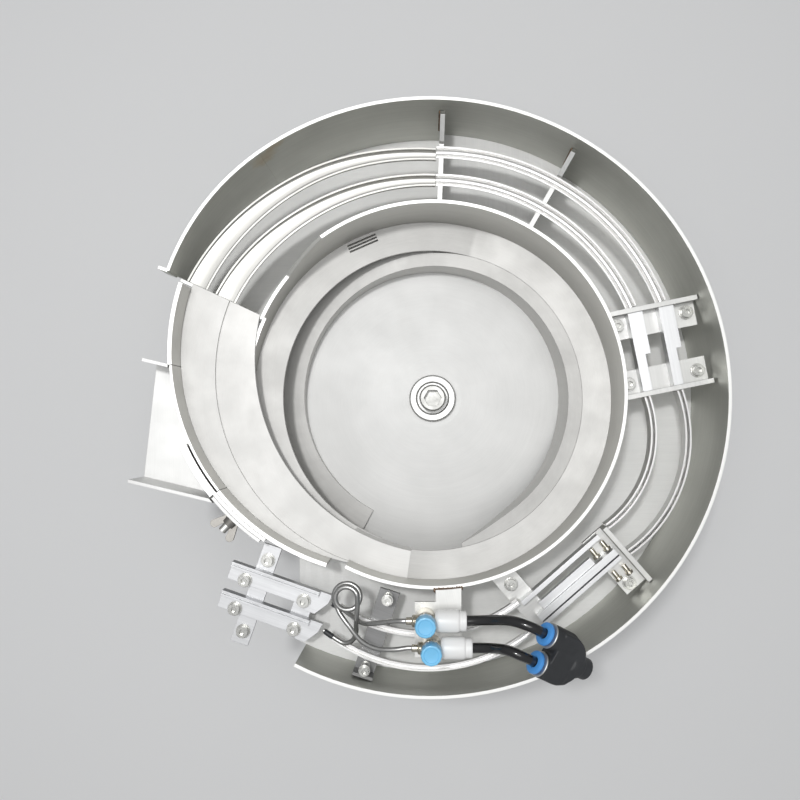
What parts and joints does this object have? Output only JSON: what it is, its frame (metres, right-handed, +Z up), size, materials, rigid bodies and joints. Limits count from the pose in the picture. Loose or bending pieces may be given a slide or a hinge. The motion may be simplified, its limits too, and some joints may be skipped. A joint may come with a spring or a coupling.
{
  "type": "vibratory bowl feeder",
  "caption": "Round bowl with a spiral track, sorting rails, air jets and an outlet track, on a leaf-spring vibrating drive unit.",
  "frame": {"origin": "on the bowl's axis, on the plane that the three rubber feet stand on", "axes": "+Z up along the bowl's axis; the outlet track leaves on the -X, -Y side, the overflow chute on the -X side"},
  "size_m": [0.3629, 0.362, 0.2516],
  "materials": {
    "rubber": "matt moulded rubber",
    "zinc_screw": "zinc-plated steel",
    "cast_paint": "hammered grey enamel on cast iron",
    "gland_plastic": "moulded nylon",
    "laminations": "stacked electrical steel",
    "winding": "varnished copper wire",
    "clamp_steel": "milled steel",
    "spring_laminate": "glass-fibre laminate",
    "stainless": "brushed stainless sheet",
    "stainless_bright": "bright ground stainless",
    "stainless_dull": "dull stainless sheet",
    "aluminium_bar": "milled aluminium",
    "nickel": "nickel-plated brass",
    "white_plastic": "moulded plastic",
    "blue_knob": "moulded plastic",
    "blue_ring": "moulded plastic",
    "black_tube": "extruded polyurethane",
    "black_plastic": "moulded plastic"
  },
  "bodies": {
    "base": {"rubber_feet": "rubber", "foot_inserts": "zinc_screw", "drive_base": "cast_paint", "cable_gland": "gland_plastic", "magnet_core": "laminations", "magnet_coil": "winding", "lower_spring_clamps": "clamp_steel", "lower_spring_screws": "zinc_screw", "leaf_springs": "spring_laminate"},
    "bowl": {"upper_spring_clamps": "clamp_steel", "upper_spring_screws": "zinc_screw", "top_plate": "cast_paint", "armature": "laminations", "bowl_plate": "stainless", "bowl_wall": "stainless", "bowl_floor": "stainless", "center_washer": "stainless_bright", "center_bolt": "zinc_screw", "spiral_track": "stainless", "upper_track": "stainless", "inner_lane": "stainless", "outer_lane": "stainless", "rear_exit_wall": "stainless", "middle_exit_wall": "stainless", "front_exit_wall": "stainless", "guard_wall": "stainless", "return_pan": "stainless", "pan_bridge": "stainless_dull", "pan_ribs": "stainless", "pan_end_plate": "stainless", "entry_rails": "aluminium_bar", "trough_rails": "stainless_dull", "step_brackets": "stainless_bright", "step_bars": "aluminium_bar", "inner_hanging_rail": "stainless_bright", "outer_hanging_rail": "stainless_bright", "sorting_brackets": "stainless_bright", "sorting_bars": "aluminium_bar", "inner_curved_rail": "stainless_bright", "outer_curved_rail": "stainless_bright", "outlet_bars": "aluminium_bar", "outlet_cross_plate": "aluminium_bar", "outlet_bracket": "stainless_bright", "strap_plate": "stainless_dull", "tooling_screws": "zinc_screw", "overflow_chute": "stainless", "gate_clamp": "stainless", "valve_bracket": "stainless", "valve_bodies": "nickel", "valve_barrels": "white_plastic", "air_pipes": "stainless_bright", "inner_air_tube": "black_tube", "outer_air_tube": "black_tube", "y_fitting": "black_plastic"},
    "gate": {"gate_strip": "stainless_bright"},
    "nut": {"wing_nut": "zinc_screw"},
    "inner_knob": {"inner_valve_knob": "blue_knob"},
    "outer_knob": {"outer_valve_knob": "blue_knob"},
    "inner_ring": {"inner_release_ring": "blue_ring"},
    "outer_ring": {"outer_release_ring": "blue_ring"}
  },
  "joints": [
    {"name": "bowl_vibration", "type": "hinge", "parent": "base", "child": "bowl", "pos_m": [0, 0, 0.13], "axis": [0, 0, 1], "range_deg": [-0.5, 0.5], "stiffness_Nm_per_rad": 4000, "deforming": ["leaf_springs"]},
    {"name": "gate_slide", "type": "hinge", "parent": "bowl", "child": "gate", "pos_m": [-0.025, 0.025, 0.208], "axis": [0, 0, 1], "range_deg": [-6, 0]},
    {"name": "wing_nut_turn", "type": "hinge", "parent": "bowl", "child": "nut", "pos_m": [-0.12399, -0.07751, 0.208], "axis": [-0.6947, -0.7193, 0], "continuous": true},
    {"name": "inner_knob_turn", "type": "hinge", "parent": "bowl", "child": "inner_knob", "pos_m": [-0.0044, -0.1334, 0.243], "axis": [0, 0, 1], "continuous": true},
    {"name": "outer_knob_turn", "type": "hinge", "parent": "bowl", "child": "outer_knob", "pos_m": [-0.00103, -0.14925, 0.243], "axis": [0, 0, 1], "continuous": true},
    {"name": "inner_ring_push", "type": "slide", "parent": "bowl", "child": "inner_ring", "axis": [0.7849, -0.4532, -0.4226], "range_m": [0, 0.0008], "stiffness_N_per_m": 600},
    {"name": "outer_ring_push", "type": "slide", "parent": "bowl", "child": "outer_ring", "axis": [0.7849, -0.4532, -0.4226], "range_m": [0, 0.0008], "stiffness_N_per_m": 600}
  ]
}
